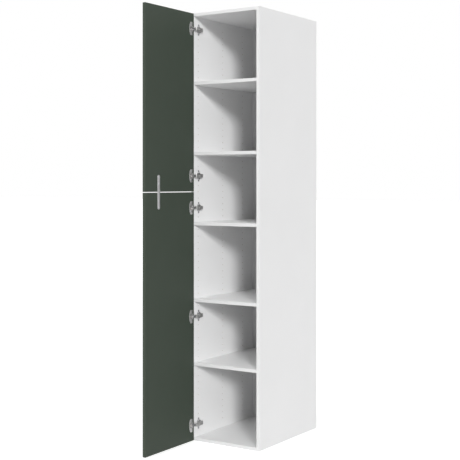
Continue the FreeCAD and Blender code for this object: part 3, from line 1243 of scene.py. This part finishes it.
    def fork_outline(self, reach: float, half: float) -> list[Point]:
        """Plan outline from the root of the inner link's fork, with a round start and a square end.

        Args:
            reach: Distance of the square end from the root.
            half: Half the outline's width.

        Returns:
            The outline's points.
        """
        away = (self.inner_cup - self.inner_arm).normalized()
        root = self.inner_cup - away * self.fork_slack_back
        out = Vector((-away.y, away.x)) * half
        back, end = root - away * half, root + away * reach
        eye = half * ALMOST
        return rounded_outline([
            (*(back + out), eye), (*(end + out), 0.0), (*(end - out), 0.0), (*(back - out), eye),
        ])

    def inner_link(self) -> bpy.types.Object:
        """Hooked link whose forked end straddles the cup's deeper pin.

        Returns:
            The model at height zero.
        """
        bend = self.inner_cup + Vector(self.inner_bend_step)
        bar = self.bent_bar(self.inner_arm, bend, self.inner_cup)
        half = self.inner_link_half
        piece = make_piece("inner_link_model", prism(self.plan, bar, -half, half), [LINK_STEEL])
        reach = self.fork_slack_back + self.fork_reach
        fork = self.fork_outline(reach, self.link_half_width)
        combine(piece, prism(self.plan, fork, -half, half), Join.ADD, LINK_STEEL)
        slot = self.fork_outline(reach + self.fork_reach, self.fork_pin_radius + self.fork_play)
        combine(piece, prism(self.plan, slot, -2 * half, 2 * half), Join.CUT, LINK_STEEL)
        self.bore(piece, (self.inner_arm,), half)
        return piece

    def spread(self, part: str, model: bpy.types.Object, body: Body) -> None:
        """Copy a model to every hinge in place of its nodes.

        Args:
            part: Name of the hinge part.
            model: Model at height zero, used up here.
            body: Body that carries the part.
        """
        for number, height in enumerate(self.heights, 1):
            node = f"hinge_{number}_{part}"
            piece = copies_at(node + "_pressing", model, [Matrix.Translation(UP * height)])
            fit(piece, body, [node])
        discard(model)

    def screws(self) -> None:
        """Screws in the plates, the cups and the arms."""
        plates = [
            self.side.spot(self.wing_middle, height + sign * self.plate_screw_offset, self.plate_thickness)
            for height in self.heights for sign in BOTH_SIGNS
        ]
        cups = [
            self.face.spot(self.cup_screw_along, sign * self.cup_screw_offset - height,
                           self.flange_thickness)
            for height in self.heights for sign in BOTH_SIGNS
        ]
        arms = [
            self.side.spot(place, height, self.arm_top - self.arm_screw_sink)
            for height in self.heights for place in self.arm_screw_places
        ]
        fit(self.plate_screw.placed("plate_screw_heads", plates), Body.CARCASS, ["plate_screws"])
        fit(self.cup_screw.placed("cup_screw_heads", cups), Body.DOORS)
        fit(self.arm_screw.placed("arm_screw_heads", arms), Body.CARCASS)

    def build(self) -> None:
        """Make every hinge part and dress the hidden springs."""
        self.spread("plate", self.plate(), Body.CARCASS)
        self.spread("arm", self.arm(), Body.CARCASS)
        self.spread("cup", self.cup(), Body.DOORS)
        self.spread("outer_link", self.outer_link(), Body.OUTER_LINKS)
        self.spread("inner_link", self.inner_link(), Body.INNER_LINKS)
        self.screws()
        dress_node("closing_springs", SPRING)


@dataclass
class Studio:
    """Pale floor, soft light and the camera at the photograph's angle."""

    floor_half: float = 60.0
    floor_cells: int = 12
    floor_light: Colour = (0.7, 0.7, 0.7)
    floor_shade: Colour = (0.69, 0.69, 0.69)
    floor_cloud_scale: float = 0.8
    floor_rough: float = 0.9
    floor_gloss: float = 0.1
    floor_lift: float = 0.62
    surround_level: float = 0.12
    overhead_level: float = 0.30
    key_strength: float = 2.06
    key_bearing: float = 42.8
    key_height: float = 17.5
    key_spread: float = 11.0
    fill_strength: float = 1.2
    fill_bearing: float = -8.0
    fill_height: float = 62.0
    fill_spread: float = 60.0
    rear_strength: float = 1.0
    rear_bearing: float = 212.0
    rear_height: float = 12.0
    rear_spread: float = 50.0
    camera_place: Triple = (2.7753, -4.4738, 1.2940)
    camera_turn: float = 34.251
    lens: float = 79.90
    sensor: float = 36.0
    shift: Pair = (0.0393, -0.1030)
    view_end: float = 500.0

    def seen_directly(self, tree: bpy.types.NodeTree) -> bpy.types.NodeSocket:
        """One where a surface is seen directly, in gloss or through glass, else zero.

        Args:
            tree: Node tree to add to.

        Returns:
            The test's value.
        """
        path = tree.nodes.new("ShaderNodeLightPath")
        gloss = tree.nodes.new("ShaderNodeMath")
        gloss.operation = "MAXIMUM"
        tree.links.new(path.outputs["Is Camera Ray"], gloss.inputs[0])
        tree.links.new(path.outputs["Is Glossy Ray"], gloss.inputs[1])
        either = tree.nodes.new("ShaderNodeMath")
        either.operation = "MAXIMUM"
        tree.links.new(gloss.outputs[0], either.inputs[0])
        tree.links.new(path.outputs["Is Transmission Ray"], either.inputs[1])
        return either.outputs[0]

    def sky_level(self, tree: bpy.types.NodeTree) -> bpy.types.NodeSocket:
        """Strength of the surround, brighter overhead than all round.

        Args:
            tree: Node tree of the world.

        Returns:
            The strength for each direction.
        """
        where = tree.nodes.new("ShaderNodeTexCoord")
        split = tree.nodes.new("ShaderNodeSeparateXYZ")
        level = tree.nodes.new("ShaderNodeMapRange")
        level.inputs["To Min"].default_value = self.surround_level
        level.inputs["To Max"].default_value = self.overhead_level
        tree.links.new(where.outputs["Generated"], split.inputs["Vector"])
        tree.links.new(split.outputs["Z"], level.inputs["Value"])
        return level.outputs["Result"]

    def floor(self) -> None:
        """Large pale floor that keeps the object's shadow."""
        mesh = bmesh.new()
        cells = self.floor_cells
        bmesh.ops.create_grid(mesh, x_segments=cells, y_segments=cells, size=self.floor_half)
        data = bpy.data.meshes.new("floor")
        mesh.to_mesh(data)
        mesh.free()
        data.materials.append(self.floor_paper())
        show("floor", data)

    def floor_paper(self) -> bpy.types.Material:
        """Pale paper that is lifted to white where it is seen, and gives no light of its own.

        Returns:
            The floor's material.
        """
        bench = NodeBench("floor_paper")
        clouds = bench.noise(bench.coordinates, self.floor_cloud_scale)
        bench.colour(bench.blend(clouds, self.floor_shade, self.floor_light))
        bench.constant("Roughness", self.floor_rough)
        bench.constant("Specular IOR Level", self.floor_gloss)
        lift = bench.add("ShaderNodeEmission")
        dark = bench.add("ShaderNodeEmission")
        lift.inputs["Strength"].default_value = self.floor_lift
        dark.inputs["Strength"].default_value = 0.0
        choose = bench.add("ShaderNodeMixShader")
        bench.join(self.seen_directly(bench.tree), choose.inputs["Fac"])
        bench.join(dark.outputs[0], choose.inputs[1])
        bench.join(lift.outputs[0], choose.inputs[2])
        both = bench.add("ShaderNodeAddShader")
        bench.join(bench.shader.outputs[0], both.inputs[0])
        bench.join(choose.outputs[0], both.inputs[1])
        bench.join(both.outputs[0], bench.output.inputs["Surface"])
        return bench.material

    def lamp(self, name: str, strength: float, bearing: float, height: float, spread: float) -> None:
        """Add one soft distant lamp.

        Args:
            name: Name of the lamp.
            strength: Light that it gives.
            bearing: Degrees to the right of the cabinet's front.
            height: Degrees above the horizon.
            spread: Width of the source in degrees.
        """
        data = bpy.data.lights.new(name, "SUN")
        data.energy = strength
        data.angle = math.radians(spread)
        turn, rise = math.radians(bearing), math.radians(height)
        towards = Vector((math.sin(turn) * math.cos(rise), -math.cos(turn) * math.cos(rise), math.sin(rise)))
        lamp = bpy.data.objects.new(name, data)
        lamp.rotation_euler = towards.to_track_quat("Z", "Y").to_euler()
        bpy.context.scene.collection.objects.link(lamp)

    def light(self) -> None:
        """Soft key from the front right, fill from above the front, soft light from behind, dim surround."""
        self.lamp("key", self.key_strength, self.key_bearing, self.key_height, self.key_spread)
        self.lamp("fill", self.fill_strength, self.fill_bearing, self.fill_height, self.fill_spread)
        self.lamp("rear", self.rear_strength, self.rear_bearing, self.rear_height, self.rear_spread)
        world = bpy.data.worlds.new("surround")
        world.use_nodes = True
        tree = world.node_tree
        tree.nodes.clear()
        output = tree.nodes.new("ShaderNodeOutputWorld")
        even = tree.nodes.new("ShaderNodeBackground")
        tree.links.new(self.sky_level(tree), even.inputs["Strength"])
        white = tree.nodes.new("ShaderNodeBackground")
        for background in (even, white):
            background.inputs["Color"].default_value = (1.0, 1.0, 1.0, 1.0)
        choose = tree.nodes.new("ShaderNodeMixShader")
        tree.links.new(self.seen_directly(tree), choose.inputs["Fac"])
        tree.links.new(even.outputs[0], choose.inputs[1])
        tree.links.new(white.outputs[0], choose.inputs[2])
        tree.links.new(choose.outputs[0], output.inputs["Surface"])
        bpy.context.scene.world = world

    def camera(self) -> None:
        """Level camera to the right of the front."""
        data = bpy.data.cameras.new("camera")
        data.sensor_fit = "HORIZONTAL"
        data.sensor_width = self.sensor
        data.lens = self.lens
        data.shift_x, data.shift_y = self.shift
        data.clip_end = self.view_end
        camera = bpy.data.objects.new("camera", data)
        camera.location = self.camera_place
        camera.rotation_euler = (math.pi / 2, 0.0, math.radians(self.camera_turn))
        bpy.context.scene.collection.objects.link(camera)
        bpy.context.scene.camera = camera

    def build(self) -> None:
        """Set up the whole studio."""
        bpy.context.scene.view_settings.view_transform = "Standard"
        self.floor()
        self.light()
        self.camera()


def main() -> None:
    """Build the cabinet and its studio in order."""
    logging.basicConfig(level=logging.INFO, format="%(message)s")
    for assembly in (Studio(), Carcass(), Doors(), Hinges()):
        assembly.build()
        log.info("built %s", type(assembly).__name__)


if __name__ == "__main__":
    main()
